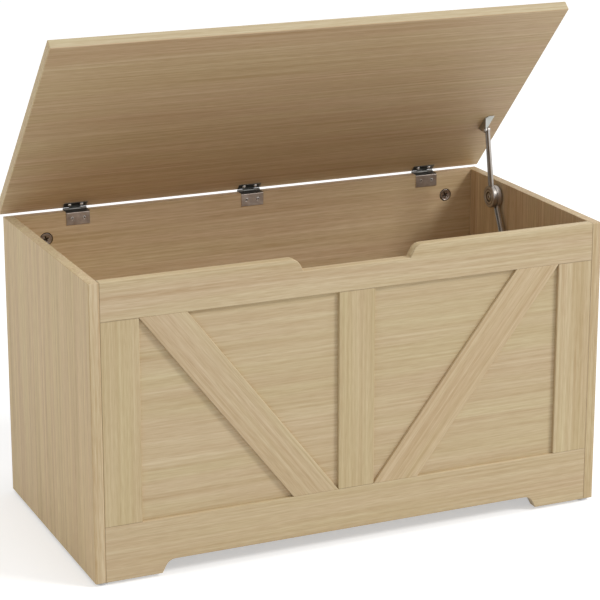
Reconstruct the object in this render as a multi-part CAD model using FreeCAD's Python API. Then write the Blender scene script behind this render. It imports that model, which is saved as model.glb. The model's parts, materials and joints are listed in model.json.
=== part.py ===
import FreeCAD, Part
import math
import os

# A storage chest with a framed front and a lid on three hinges, held open by a folding friction stay.
# X runs to the right as seen from the front, the front faces -Y and Z points up, in millimetres.
# The chest is drawn about the middle of its own depth and moved at the end, so that the origin lies
# on the floor under the middle of the whole object with its lid open.

# Carcass
body_width = 790.0
body_depth = 390.0
side_height = 430.0
board = 15.0
board_ease = 0.6
bottom_board = 15.0
bottom_lift = 50.0

# Feet
foot_height = 4.5
foot_radius = 9.5
foot_tread_radius = 7.5
foot_rim_height = 1.6
foot_side_inset = 12.5
foot_end_inset = 11.0
nail_radius = 1.2
nail_seat = 1.5
nail_bite = 14.0
nail_fit = 0.1

# Framed front
panel_board = 10.0
strip = 5.0
member_width = 55.4
bottom_rail_height = 80.8
tongue = 4.0
tongue_length = 4.8
groove_depth = 5.0
groove_fit = 0.1
strip_ease = 0.6
notch_floor = 164.8
notch_depth = 18.5
arch_span = 593.6
arch_height = 18.5
flank_radius = 16.0
flank_slope_deg = 62.0

# Lid
lid_width = 800.0
lid_depth = 400.0
lid_board = 15.0
lid_ease = 0.8
lid_open_deg = 47.25
lid_edge_lead = 0.4

# Hinges
hinge_end_left = 111.0
hinge_middle_place = -2.0
hinge_end_right = 96.0
leaf_width = 36.5
leaf = 1.0
leaf_bend = 0.9
leaf_drop = 19.0
leaf_reach = 13.6
mortise_depth = 2.3
mortise_fit = 0.3
barrel_radius = 2.25
barrel_gap = 0.3
hinge_pin_radius = 1.2
pin_fit = 0.05
pin_overhang = 0.4
knuckle_width = 9.0
hinge_screw_pitch = 18.6
hinge_screw_drop = 8.0
hinge_screw_reach = 9.0

# Countersunk wood screws of the hinges and brackets
screw_head_radius = 2.9
screw_head_depth = 1.0
screw_shank_radius = 1.4
screw_length = 12.5
screw_fit = 0.05
head_fit = 0.1

# Cam fittings and dowels
cam_radius = 10.0
cam_height = 12.0
cam_setback = 46.0
cam_recess_width = 2.0
cam_recess_length = 11.0
cam_recess_depth = 1.8
cam_fit = 0.15
cam_drop = 38.0
cam_foot = 30.0
cam_rail_rise = 17.4
cam_bottom_place = 125.0
bolt_radius = 2.9
bolt_head_radius = 3.6
bolt_head_length = 3.0
bolt_head_setoff = 2.0
bolt_bite = 11.0
bolt_bore_radius = 4.0
dowel_radius = 4.0
dowel_length = 30.0
dowel_bite = 10.0
dowel_fit = 0.1
dowel_end_gap = 0.5
dowel_rail_drop = 13.0
dowel_back_low = 80.0
dowel_back_high = 230.0
dowel_bottom_place = 60.0

# Stay: the hub, the two arms and the two brackets
hub_radius = 17.35
hub_thickness = 15.0
hub_wall_gap = 2.5
hub_split = 0.3
hub_rim_ease = 1.0
hub_center_setback = 106.5
hub_center_drop = 23.2
ring_radius = 11.9
ring_width = 1.3
ring_depth = 0.9
dish_radius = 7.2
dish_depth = 0.9
hub_pin_radius = 3.0
hub_rivet_head_radius = 4.6
hub_rivet_head_height = 1.0
hub_rivet_dimple_radius = 1.6
hub_rivet_dimple_depth = 0.5
washer_radius = 8.0
washer_thickness = 0.8
washer_fit = 0.2
upper_arm = 1.5
upper_arm_root = 13.0
upper_arm_tip = 9.8
upper_arm_depth = 3.2
upper_arm_wall = 1.2
lower_arm_length = 100.0
lower_arm_lean_deg = 26.0
lower_arm_width = 10.0
lower_arm_depth = 4.0
lower_arm_wall = 1.2
lower_arm_socket = 8.0
lower_arm_fit = 0.1
side_bracket = 1.5
side_bracket_width = 18.0
side_bracket_height = 48.0
side_bracket_round = 5.0
side_bracket_screw_pitch = 32.0
side_boss_radius = 6.0
open_pivot_gap = 0.3
rivet_radius = 2.0
rivet_head_radius = 3.4
rivet_head_height = 1.2
lid_bracket = 1.2
lid_bracket_width = 15.0
lid_bracket_length = 34.0
lid_bracket_reach = 138.0
lid_bracket_corner = 5.0
lid_pivot_reach = 118.4
lid_pivot_stand = 12.5
lid_pivot_round = 4.6
cheek_rear_shares = (0.9, 0.4)
cheek_front_shares = (0.7, 0.7)
lid_bracket_screw_pitch = 11.0
lid_bracket_screw_inset = 5.0

# Cutters run this far past the faces they open
overrun = 2.0

# Planes and places that follow from the sizes above
half_width = body_width / 2
inner_half = half_width - board
front_y = -body_depth / 2
back_y = body_depth / 2
front_inner_y = front_y + panel_board + strip
back_inner_y = back_y - board
side_bottom = foot_height
side_top = foot_height + side_height
bottom_rail_top = side_bottom + bottom_rail_height
top_rail_bottom = side_top - member_width
panel_face_y = front_y + strip
tongue_y = panel_face_y + panel_board / 2
bottom_underside = side_bottom + bottom_lift
hinge_y = back_y
leaf_seat_z = side_top - mortise_depth
hinge_z = leaf_seat_z + barrel_radius + barrel_gap
lid_underside = hinge_z + barrel_radius + barrel_gap
lid_rear_y = hinge_y - lid_edge_lead
hinge_centers = {"left": hinge_end_left - half_width, "middle": hinge_middle_place,
                 "right": half_width - hinge_end_right}

hub_back_x = inner_half - hub_wall_gap
hub_face_x = hub_back_x - hub_thickness
hub_middle_x = hub_face_x + hub_thickness / 2
cap_back_x = hub_middle_x - hub_split / 2
drum_front_x = hub_middle_x + hub_split / 2
upper_arm_x = cap_back_x - upper_arm
channel_x = drum_front_x + lower_arm_wall / 2
channel_back_x = channel_x + lower_arm_depth
hub_y = hinge_y - hub_center_setback
hub_z = side_top - hub_center_drop


# Small shape helpers
def point(x, y, z):
    return FreeCAD.Vector(x, y, z)


along_x = point(1, 0, 0)
along_y = point(0, 1, 0)
along_z = point(0, 0, 1)


def block(x0, x1, y0, y1, z0, z1):
    return Part.makeBox(x1 - x0, y1 - y0, z1 - z0, point(x0, y0, z0))


def rod(start, direction, radius, length):
    return Part.makeCylinder(radius, length, start, direction)


def eased(shape, ease):
    return shape.makeChamfer(ease, shape.Edges)


def plate(corners, direction):
    """A flat plate: the polygon through the corners, thickened along the direction."""
    return Part.Face(Part.makePolygon(corners + corners[:1])).extrude(direction)


def turned(profile, start, direction):
    """A solid of revolution. The profile lists (radius, height), height running along the direction."""
    corners = [point(radius, 0, height) for radius, height in profile]
    shape = Part.Face(Part.makePolygon(corners + corners[:1])).revolve(point(0, 0, 0), along_z, 360)
    shape.Placement = FreeCAD.Placement(start, FreeCAD.Rotation(along_z, direction))
    return shape


def opened(shape):
    """Swing a piece of the closed lid up to the open rest position."""
    swung = shape.copy()
    swung.rotate(point(0, hinge_y, hinge_z), along_x, -lid_open_deg)
    return swung


def arm_vector(lean_deg, length):
    """A vector in the stay's plane that leans back from upright by the angle."""
    lean = math.radians(lean_deg)
    return point(0, length * math.sin(lean), length * math.cos(lean))


def lean_of(vector):
    return math.degrees(math.atan2(vector.y, vector.z))


# Countersunk screws, their holes in the sheets of the hinges and brackets, and their bores in the boards
def screw(start, direction):
    profile = [(0, 0), (screw_head_radius, 0), (screw_shank_radius, screw_head_depth)]
    profile += [(screw_shank_radius, screw_length), (0, screw_length)]
    return turned(profile, start, direction)


def screw_hole(start, direction):
    head = screw_head_radius + head_fit
    bore = screw_shank_radius + screw_fit
    profile = [(0, -overrun), (head, -overrun), (head, 0), (bore, screw_head_depth)]
    profile += [(bore, screw_head_depth + overrun), (0, screw_head_depth + overrun)]
    return turned(profile, start, direction)


def screw_bore(start, direction):
    return rod(start, direction, screw_shank_radius + screw_fit, screw_length + screw_fit)


# Cam fittings and dowels, which join a panel's end to the inner face of a side panel.
# side is -1 on the left and 1 on the right, face is the direction that the cam's own face looks.
def cam_axis(side, y, z):
    return point(side * (inner_half - cam_setback), y, z)


def cam_lock(side, y, z, face, face_distance):
    outward = along_x * side
    rim = cam_axis(side, y, z) + face * face_distance
    body = rod(rim, face * -1, cam_radius, cam_height)
    slot_radius = bolt_head_radius + cam_fit
    cuts = [rod(cam_axis(side, y, z), outward, slot_radius, cam_radius + overrun)]
    for turn in (45, 135):
        blade = block(-cam_recess_length / 2, cam_recess_length / 2, -cam_recess_width / 2,
                      cam_recess_width / 2, -cam_recess_depth, overrun)
        blade.rotate(point(0, 0, 0), along_z, turn)
        blade.Placement = FreeCAD.Placement(rim, FreeCAD.Rotation(along_z, face)).multiply(blade.Placement)
        cuts.append(blade)
    return body.cut(cuts)


def cam_bolt(side, y, z):
    start = cam_axis(side, y, z) + along_x * (side * bolt_head_setoff)
    length = cam_setback - bolt_head_setoff + bolt_bite
    profile = [(0, 0), (bolt_head_radius, 0), (bolt_head_radius, bolt_head_length)]
    profile += [(bolt_radius, bolt_head_length), (bolt_radius, length), (0, length)]
    return turned(profile, start, along_x * side)


def cam_cuts_in_panel(side, y, z, face, face_distance):
    rim = cam_axis(side, y, z) + face * (face_distance + overrun)
    seat = rod(rim, face * -1, cam_radius + cam_fit, cam_height + cam_fit + overrun)
    bore = rod(cam_axis(side, y, z), along_x * side, bolt_bore_radius, cam_setback + overrun)
    return [seat, bore]


def cam_cuts_in_side(side, y, z):
    start = point(side * (inner_half - overrun), y, z)
    return [rod(start, along_x * side, bolt_radius + screw_fit, bolt_bite + overrun + screw_fit)]


def dowel(side, y, z, extra=0):
    """A dowel, or with extra the bore that takes it with room at each end."""
    reach = dowel_length - dowel_bite
    end_gap = dowel_end_gap if extra else 0
    start = point(side * (inner_half - reach - end_gap), y, z)
    return rod(start, along_x * side, dowel_radius + extra, dowel_length + 2 * end_gap)


# The places of the fittings, as (y, z, direction of the cam's face, distance from bolt to that face)
sides = (-1, 1)
mid_back_y = back_y - board / 2
mid_front_y = front_y + board / 2
mid_bottom_z = bottom_underside + bottom_board / 2
inward_from_front = front_inner_y - mid_front_y
low_cam_z = side_bottom + cam_foot
back_cam_places = [(mid_back_y, z, along_y * -1, board / 2) for z in (side_top - cam_drop, low_cam_z)]
rail_cam_z = top_rail_bottom + cam_rail_rise
front_cam_places = [(mid_front_y, z, along_y, inward_from_front) for z in (rail_cam_z, low_cam_z)]
bottom_cam_places = [(side * cam_bottom_place, mid_bottom_z, along_z * -1, bottom_board / 2)
                     for side in sides]
back_dowel_places = [(mid_back_y, side_bottom + height) for height in (dowel_back_low, dowel_back_high)]
front_dowel_places = [(mid_front_y, top - dowel_rail_drop) for top in (side_top, bottom_rail_top)]
bottom_dowel_places = [(side * dowel_bottom_place, mid_bottom_z) for side in sides]


def panel_cuts(cam_places, dowel_places):
    cuts = []
    for side in sides:
        for y, z, face, distance in cam_places:
            cuts += cam_cuts_in_panel(side, y, z, face, distance)
        for y, z in dowel_places:
            cuts.append(dowel(side, y, z, dowel_fit))
    return cuts


# Hinges: one leaf bends over the back panel's top edge, the other lies under the lid
def knuckles(center, own_middle):
    """The rolled barrel of one leaf: its middle knuckle, or the two outer ones."""
    left, right = center - leaf_width / 2, center + leaf_width / 2
    inner_left, inner_right = left + knuckle_width, right - knuckle_width
    if own_middle:
        return [(inner_left + barrel_gap, inner_right - barrel_gap)]
    return [(left, inner_left), (inner_right, right)]


def barrel(spans):
    return [rod(point(start, hinge_y, hinge_z), along_x, barrel_radius, end - start) for start, end in spans]


def barrel_bore(center):
    start = point(center - leaf_width / 2 - overrun, hinge_y, hinge_z)
    return rod(start, along_x, hinge_pin_radius + pin_fit, leaf_width + 2 * overrun)


def barrel_relief(spans, z_low, z_high):
    y_low = hinge_y - barrel_radius - barrel_gap
    return [block(start - barrel_gap, end + barrel_gap, y_low, hinge_y + overrun, z_low, z_high)
            for start, end in spans]


def screw_pair(center, y, z):
    return [point(center + side * hinge_screw_pitch / 2, y, z) for side in sides]


def body_leaf_screw_places(center):
    return screw_pair(center, back_inner_y - leaf, leaf_seat_z - hinge_screw_drop)


def lid_leaf_screw_places(center):
    return screw_pair(center, hinge_y - hinge_screw_reach, lid_underside - leaf)


def body_leaf(center):
    x0 = center - leaf_width / 2
    x1 = center + leaf_width / 2
    top = block(x0, x1, back_inner_y - leaf, hinge_y, leaf_seat_z, leaf_seat_z + leaf)
    flange_low = leaf_seat_z + leaf - leaf_drop
    flange = block(x0, x1, back_inner_y - leaf, back_inner_y, flange_low, leaf_seat_z + leaf)
    sheet = top.fuse(flange).removeSplitter()
    bend = [edge for edge in sheet.Edges
            if abs(edge.CenterOfMass.y - (back_inner_y - leaf)) < leaf / 10
            and abs(edge.CenterOfMass.z - (leaf_seat_z + leaf)) < leaf / 10]
    sheet = sheet.makeFillet(leaf_bend, bend)
    sheet = sheet.cut(barrel_relief(knuckles(center, True), leaf_seat_z - overrun, hinge_z))
    sheet = sheet.fuse(barrel(knuckles(center, False)))
    holes = [screw_hole(place, along_y) for place in body_leaf_screw_places(center)]
    return sheet.cut([barrel_bore(center)] + holes)


def lid_leaf(center):
    x0 = center - leaf_width / 2
    x1 = center + leaf_width / 2
    sheet = block(x0, x1, hinge_y - leaf_reach, hinge_y, lid_underside - leaf, lid_underside)
    sheet = sheet.cut(barrel_relief(knuckles(center, False), hinge_z, lid_underside + overrun))
    sheet = sheet.fuse(barrel(knuckles(center, True)))
    holes = [screw_hole(place, along_z) for place in lid_leaf_screw_places(center)]
    return sheet.cut([barrel_bore(center)] + holes)


def hinge_pin(center):
    start = point(center - leaf_width / 2 - pin_overhang, hinge_y, hinge_z)
    return rod(start, along_x, hinge_pin_radius, leaf_width + 2 * pin_overhang)


# The flank of the notch and of the arch: a straight slope from a sharp corner, then an arc
# that ends level. toward is the direction in x from the sharp corner to the level end.
def flank_run(height):
    slope = math.radians(flank_slope_deg)
    straight = (height - flank_radius * (1 - math.cos(slope))) / math.sin(slope)
    return straight * math.cos(slope) + flank_radius * math.sin(slope)


def flank(sharp_x, sharp_z, height, toward, y):
    slope = math.radians(flank_slope_deg)
    straight = (height - flank_radius * (1 - math.cos(slope))) / math.sin(slope)
    sharp = point(sharp_x, y, sharp_z)
    bend = sharp + point(toward * straight * math.cos(slope), 0, straight * math.sin(slope))
    center = bend + point(toward * flank_radius * math.sin(slope), 0, -flank_radius * math.cos(slope))
    half = slope / 2
    middle = center + point(-toward * flank_radius * math.sin(half), 0, flank_radius * math.cos(half))
    level = center + point(0, 0, flank_radius)
    return [Part.LineSegment(sharp, bend).toShape(), Part.Arc(bend, middle, level).toShape()]


def line(start, end):
    return Part.LineSegment(start, end).toShape()


# Framed front
def rail(edge_z, far_z, sharp_x, sharp_z, height, toward):
    """A rail with the notch or the arch in its edge at edge_z, and the panel's groove in its far edge."""
    level_x = sharp_x + toward * flank_run(height)
    level_z = sharp_z + height
    if toward > 0:
        mouth_x, floor_x, floor_z = level_x, sharp_x, sharp_z
    else:
        mouth_x, floor_x, floor_z = sharp_x, level_x, level_z
    corners = [point(-mouth_x, front_y, edge_z), point(-inner_half, front_y, edge_z)]
    corners += [point(-inner_half, front_y, far_z), point(inner_half, front_y, far_z)]
    corners += [point(inner_half, front_y, edge_z), point(mouth_x, front_y, edge_z)]
    edges = [line(start, end) for start, end in zip(corners, corners[1:])]
    edges.append(line(point(-floor_x, front_y, floor_z), point(floor_x, front_y, floor_z)))
    for side in sides:
        edges += flank(side * sharp_x, sharp_z, height, side * toward, front_y)
    piece = Part.Face(Part.Wire(Part.__sortEdges__(edges))).extrude(along_y * board)
    outline = [edge for edge in piece.Edges if edge.BoundBox.YLength < strip_ease]
    piece = piece.makeChamfer(strip_ease, outline)
    inward = 1 if edge_z > far_z else -1
    groove_low, groove_high = sorted((far_z - inward * overrun, far_z + inward * groove_depth))
    half_groove = tongue / 2 + groove_fit
    end = inner_half + overrun
    groove = block(-end, end, tongue_y - half_groove, tongue_y + half_groove, groove_low, groove_high)
    return piece.cut(groove)


def top_rail():
    floor = side_top - notch_depth
    piece = rail(side_top, top_rail_bottom, notch_floor / 2, floor, notch_depth, 1)
    return piece.cut(panel_cuts(front_cam_places[:1], front_dowel_places[:1]))


def bottom_rail():
    piece = rail(side_bottom, bottom_rail_top, arch_span / 2, side_bottom, arch_height, -1)
    return piece.cut(panel_cuts(front_cam_places[1:], front_dowel_places[1:]))


def front_panel():
    sheet = block(-inner_half, inner_half, panel_face_y, front_inner_y, bottom_rail_top, top_rail_bottom)
    tongues = block(-inner_half, inner_half, tongue_y - tongue / 2, tongue_y + tongue / 2,
                    bottom_rail_top - tongue_length, top_rail_bottom + tongue_length)
    return sheet.fuse(tongues).removeSplitter()


def stile(x0, x1):
    return eased(block(x0, x1, front_y, panel_face_y, bottom_rail_top, top_rail_bottom), strip_ease)


def brace(side):
    """A diagonal from the outer top corner down to the foot of the centre stile, as wide as a stile."""
    top_x = inner_half - member_width
    foot_x = member_width / 2
    height = top_rail_bottom - bottom_rail_top
    span = top_x - foot_x
    square = height ** 2 - member_width ** 2
    run = (span * height ** 2 - member_width * height * math.sqrt(span ** 2 + square)) / square
    cut_width = span - run
    corners = [point(side * top_x, front_y, top_rail_bottom)]
    corners += [point(side * (top_x - cut_width), front_y, top_rail_bottom)]
    corners += [point(side * foot_x, front_y, bottom_rail_top)]
    corners += [point(side * (foot_x + cut_width), front_y, bottom_rail_top)]
    return eased(plate(corners, along_y * strip), strip_ease)


# Carcass panels
def side_panel(side):
    x0, x1 = sorted((side * inner_half, side * half_width))
    panel = eased(block(x0, x1, front_y, back_y, side_bottom, side_top), board_ease)
    cuts = []
    for y, z, face, distance in back_cam_places + front_cam_places + bottom_cam_places:
        cuts += cam_cuts_in_side(side, y, z)
    for y, z in back_dowel_places + front_dowel_places + bottom_dowel_places:
        cuts.append(dowel(side, y, z, dowel_fit))
    cuts += [nail(place, nail_fit) for place in foot_places() if place.x * side > 0]
    if side > 0:
        cuts += [screw_bore(place, along_x) for place in side_bracket_screw_places()]
    return panel.cut(cuts)


def hinge_mortise(center):
    """The shallow seat in the back panel's top edge that a hinge leaf is let into."""
    reach = leaf_width / 2 + mortise_fit
    return block(center - reach, center + reach, back_inner_y - overrun, back_y + overrun, leaf_seat_z,
                 side_top + overrun)


def back_panel():
    panel = eased(block(-inner_half, inner_half, back_inner_y, back_y, side_bottom, side_top), board_ease)
    cuts = panel_cuts(back_cam_places, back_dowel_places)
    for center in hinge_centers.values():
        cuts += [screw_bore(place, along_y) for place in body_leaf_screw_places(center)]
        cuts.append(hinge_mortise(center))
    return panel.cut(cuts)


def bottom_panel():
    panel = block(-inner_half, inner_half, front_inner_y, back_inner_y, bottom_underside,
                  bottom_underside + bottom_board)
    return panel.cut(panel_cuts(bottom_cam_places, bottom_dowel_places))


# Feet: plastic glides, each moulded round a nail that is driven up into a side panel
def foot_places():
    x = half_width - foot_side_inset
    y = body_depth / 2 - foot_end_inset
    return [point(side * x, end * y, 0) for side in sides for end in sides]


def nail(place, extra=0):
    """The nail, or with extra the bore that takes it."""
    start = place + along_z * (nail_seat - extra)
    return rod(start, along_z, nail_radius + extra, foot_height - nail_seat + nail_bite + 2 * extra)


def foot(place):
    profile = [(0, 0), (foot_tread_radius, 0), (foot_radius, foot_rim_height), (foot_radius, foot_height)]
    profile += [(0, foot_height)]
    return turned(profile, place, along_z).cut(nail(place, nail_fit))


# Lid, drawn closed
def lid_panel():
    half = lid_width / 2
    front = lid_rear_y - lid_depth
    panel = eased(block(-half, half, front, lid_rear_y, lid_underside, lid_underside + lid_board), lid_ease)
    cuts = []
    for center in hinge_centers.values():
        cuts += [screw_bore(place, along_z) for place in lid_leaf_screw_places(center)]
    cuts += [screw_bore(place, along_z) for place in lid_bracket_screw_places()]
    return panel.cut(cuts)


# Stay: pivots. The lid's pivot is drawn closed and then swung up with the lid.
closed_lid_pivot = point(0, hinge_y - lid_pivot_reach, lid_underside - lid_pivot_stand)
hub_pivot = point(0, hub_y, hub_z)
side_pivot = hub_pivot - arm_vector(lower_arm_lean_deg, lower_arm_length)


def open_lid_pivot():
    vertex = Part.Vertex(closed_lid_pivot)
    return opened(vertex).Point


lid_pivot = open_lid_pivot()
upper_arm_span = lid_pivot - hub_pivot


def at_x(place, x):
    return point(x, place.y, place.z)


# Lid bracket: a folded sheet with a base under the lid, a cheek that holds the pivot and a sloping gusset.
# The corner where the three meet is cut away.
bracket_front_y = hinge_y - lid_bracket_reach
bracket_rear_y = bracket_front_y + lid_bracket_length


def lid_bracket_screw_places():
    x = hub_face_x + lid_bracket_width - lid_bracket_screw_inset
    z = lid_underside - lid_bracket
    first = bracket_rear_y - lid_bracket_screw_inset
    return [point(x, first, z), point(x, first - lid_bracket_screw_pitch, z)]


def lid_bracket_piece():
    x0 = hub_face_x
    x1 = hub_face_x + lid_bracket_width
    corner = point(x0, bracket_front_y, lid_underside)
    cut_back = corner + along_y * lid_bracket_corner
    cut_side = corner + along_x * lid_bracket_corner
    rear = point(x0, bracket_rear_y, lid_underside)
    width = along_x * lid_bracket_width
    base = plate([cut_side, corner + width, rear + width, rear, cut_back], -along_z * lid_bracket)
    pivot = at_x(closed_lid_pivot, x0)
    rear_y, rear_z = [share * lid_pivot_round for share in cheek_rear_shares]
    front_y_step, front_z_step = [share * lid_pivot_round for share in cheek_front_shares]
    tip = pivot + point(0, -front_y_step, -front_z_step)
    cut_down = corner + (tip - corner).normalize() * lid_bracket_corner
    cheek_corners = [cut_back, rear, pivot + point(0, rear_y, -rear_z), tip, cut_down]
    cheek = plate(cheek_corners, along_x * lid_bracket)
    eye = rod(pivot, along_x, lid_pivot_round, lid_bracket)
    gusset = plate([cut_side, corner + width, tip, cut_down], along_y * lid_bracket)
    piece = base.fuse([cheek, eye, gusset]).removeSplitter()
    above_lid = block(x0 - overrun, x1 + overrun, bracket_front_y - overrun, bracket_rear_y + overrun,
                      lid_underside, lid_underside + lid_board)
    holes = [screw_hole(place, along_z) for place in lid_bracket_screw_places()]
    holes.append(rod(pivot - along_x * overrun, along_x, rivet_radius, lid_bracket_width))
    return piece.cut(holes + [above_lid])


def lid_pivot_pin():
    """A shouldered rivet through the cheek and the upper arm's eye, with a head at each end."""
    start = hub_face_x - rivet_head_height
    shoulder_end = upper_arm_x - start - barrel_gap
    eye_end = upper_arm_x + upper_arm + barrel_gap - start
    cheek_start = rivet_head_height
    cheek_end = cheek_start + lid_bracket
    end = eye_end + rivet_head_height
    profile = [(0, 0), (rivet_head_radius, 0), (rivet_head_radius, cheek_start), (rivet_radius, cheek_start)]
    profile += [(rivet_radius, cheek_end), (rivet_head_radius, cheek_end), (rivet_head_radius, shoulder_end)]
    profile += [(rivet_radius, shoulder_end), (rivet_radius, eye_end), (rivet_head_radius, eye_end)]
    profile += [(rivet_head_radius, end), (0, end)]
    return turned(profile, at_x(closed_lid_pivot, start), along_x)


# Upper arm and hub cap, which turn together
def upper_arm_shape(inset, x0, x1):
    """The tapered bar with a round lid end, as a solid between two X planes, inset from its outline."""
    direction = point(0, upper_arm_span.y, upper_arm_span.z).normalize()
    across = along_x.cross(direction)
    hub_end = at_x(hub_pivot, x0)
    lid_end = at_x(lid_pivot, x0)
    root = across * (upper_arm_root / 2 - inset)
    tip = across * (upper_arm_tip / 2 - inset)
    bar = plate([hub_end + root, hub_end - root, lid_end - tip, lid_end + tip], along_x * (x1 - x0))
    return bar.fuse(rod(lid_end, along_x, upper_arm_tip / 2 - inset, x1 - x0))


def upper_arm_piece():
    """A channel whose walls end at the hub cap. Its web runs on under the cap as a round disc."""
    wall_x = cap_back_x - upper_arm_depth
    outer = upper_arm_shape(0, wall_x, cap_back_x)
    hollow = upper_arm_shape(upper_arm_wall, wall_x - overrun, upper_arm_x)
    cap_seat = rod(at_x(hub_pivot, wall_x - overrun), along_x, hub_radius, upper_arm_x - wall_x + overrun)
    disc = rod(at_x(hub_pivot, upper_arm_x), along_x, hub_radius - hub_rim_ease / 2, upper_arm)
    holes = [rod(at_x(hub_pivot, wall_x), along_x, hub_pin_radius + pin_fit, upper_arm_depth + overrun)]
    holes.append(rod(at_x(lid_pivot, wall_x), along_x, rivet_radius + pin_fit, upper_arm_depth + overrun))
    return outer.cut([hollow, cap_seat]).fuse(disc).cut(holes)


def hub_cap():
    height = upper_arm_x - hub_face_x
    ring_outer = ring_radius + ring_width / 2
    ring_inner = ring_radius - ring_width / 2
    bore = hub_pin_radius + pin_fit
    profile = [(bore, height), (bore, dish_depth), (dish_radius, dish_depth), (dish_radius + dish_depth, 0)]
    profile += [(ring_inner, 0), (ring_inner, ring_depth), (ring_outer, ring_depth), (ring_outer, 0)]
    profile += [(hub_radius - hub_rim_ease, 0), (hub_radius, hub_rim_ease), (hub_radius, height)]
    return turned(profile, at_x(hub_pivot, hub_face_x), along_x)


# Lower arm, hub drum, rivet and spring washer, which turn together
def channel_shape(width, x0, x1, start, end):
    """A straight bar with a round foot, as a solid between two X planes along the lower arm."""
    direction = (side_pivot - hub_pivot).normalize()
    across = along_x.cross(direction)
    begin = at_x(hub_pivot + direction * start, x0)
    foot_end = at_x(hub_pivot + direction * end, x0)
    corners = [begin + across * (width / 2), begin - across * (width / 2)]
    corners += [foot_end - across * (width / 2), foot_end + across * (width / 2)]
    depth = along_x * (x1 - x0)
    return plate(corners, depth).fuse(rod(foot_end, along_x, width / 2, x1 - x0)).removeSplitter()


channel_start = hub_radius - lower_arm_socket


def lower_arm_piece():
    outer = channel_shape(lower_arm_width, channel_x, channel_back_x, channel_start, lower_arm_length)
    hollow_width = lower_arm_width - 2 * lower_arm_wall
    web_x = channel_back_x - lower_arm_wall
    hollow_start = channel_start + lower_arm_wall
    hollow = channel_shape(hollow_width, channel_x - overrun, web_x, hollow_start, lower_arm_length)
    hole = rod(at_x(side_pivot, channel_x), along_x, rivet_radius + pin_fit, lower_arm_depth + overrun)
    return outer.cut([hollow, hole])


def hub_drum():
    height = hub_back_x - drum_front_x
    washer_seat = washer_thickness + washer_fit
    bore = hub_pin_radius + pin_fit
    profile = [(bore, 0), (hub_radius, 0), (hub_radius, height - hub_rim_ease)]
    profile += [(hub_radius - hub_rim_ease, height), (washer_radius + washer_fit, height)]
    profile += [(washer_radius + washer_fit, height - washer_seat - hub_rivet_head_height)]
    profile += [(bore, height - washer_seat - hub_rivet_head_height)]
    drum = turned(profile, at_x(hub_pivot, drum_front_x), along_x)
    socket = channel_shape(lower_arm_width + 2 * lower_arm_fit, channel_x - lower_arm_fit,
                           channel_back_x + lower_arm_fit, channel_start - lower_arm_fit, lower_arm_length)
    return drum.cut(socket)


def hub_rivet():
    """A rivet from the cap's dished face to the drum's back, with a dimple in its face."""
    gap = hub_split
    face = hub_face_x + dish_depth - gap
    start = face - hub_rivet_head_height
    shank_end = hub_back_x - hub_rivet_head_height - start
    end = hub_back_x - start
    profile = [(0, hub_rivet_dimple_depth), (hub_rivet_dimple_radius, 0), (hub_rivet_head_radius - gap, 0)]
    profile += [(hub_rivet_head_radius, gap), (hub_rivet_head_radius, hub_rivet_head_height)]
    profile += [(hub_pin_radius, hub_rivet_head_height), (hub_pin_radius, shank_end)]
    profile += [(hub_rivet_head_radius, shank_end), (hub_rivet_head_radius, end), (0, end)]
    return turned(profile, at_x(hub_pivot, start), along_x)


def spring_washer():
    start = at_x(hub_pivot, hub_back_x - hub_rivet_head_height - washer_thickness)
    bore = rod(start - along_x * overrun, along_x, hub_pin_radius + pin_fit, washer_thickness + 2 * overrun)
    return rod(start, along_x, washer_radius, washer_thickness).cut(bore)


def side_rivet():
    """The rivet at the foot of the lower arm. It ends flush with the arm's back."""
    start = channel_back_x - lower_arm_wall - rivet_head_height
    length = rivet_head_height + lower_arm_wall
    ease = rivet_head_height / 2
    profile = [(0, 0), (rivet_head_radius - ease, 0), (rivet_head_radius, ease)]
    profile += [(rivet_head_radius, rivet_head_height), (rivet_radius, rivet_head_height)]
    profile += [(rivet_radius, length), (0, length)]
    return turned(profile, at_x(side_pivot, start), along_x)


# Side bracket: a plate on the side panel with a boss that stands just short of the lower arm
def side_bracket_screw_places():
    x = inner_half - side_bracket
    return [at_x(side_pivot, x) + along_z * (side * side_bracket_screw_pitch / 2) for side in sides]


def side_bracket_piece():
    x = inner_half - side_bracket
    low = side_pivot - point(0, side_bracket_width / 2, side_bracket_height / 2)
    base = block(x, inner_half, low.y, low.y + side_bracket_width, low.z, low.z + side_bracket_height)
    corners = [edge for edge in base.Edges if edge.BoundBox.XLength > side_bracket / 2]
    base = base.makeFillet(side_bracket_round, corners)
    boss_start = channel_back_x + open_pivot_gap
    boss = rod(at_x(side_pivot, boss_start), along_x, side_boss_radius, x - boss_start)
    holes = [screw_hole(place, along_x) for place in side_bracket_screw_places()]
    return base.fuse(boss).cut(holes)


# Motion of the stay: the lean of each arm with the lid closed, from the crossing of two circles
def closed_hub_pivot():
    span = closed_lid_pivot - side_pivot
    lower = lower_arm_length
    upper = upper_arm_span.Length
    foot = (lower ** 2 - upper ** 2 + span.Length ** 2) / (2 * span.Length)
    rise = math.sqrt(lower ** 2 - foot ** 2)
    direction = point(0, span.y, span.z).normalize()
    return side_pivot + direction * foot + point(0, direction.z, -direction.y) * rise


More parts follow.
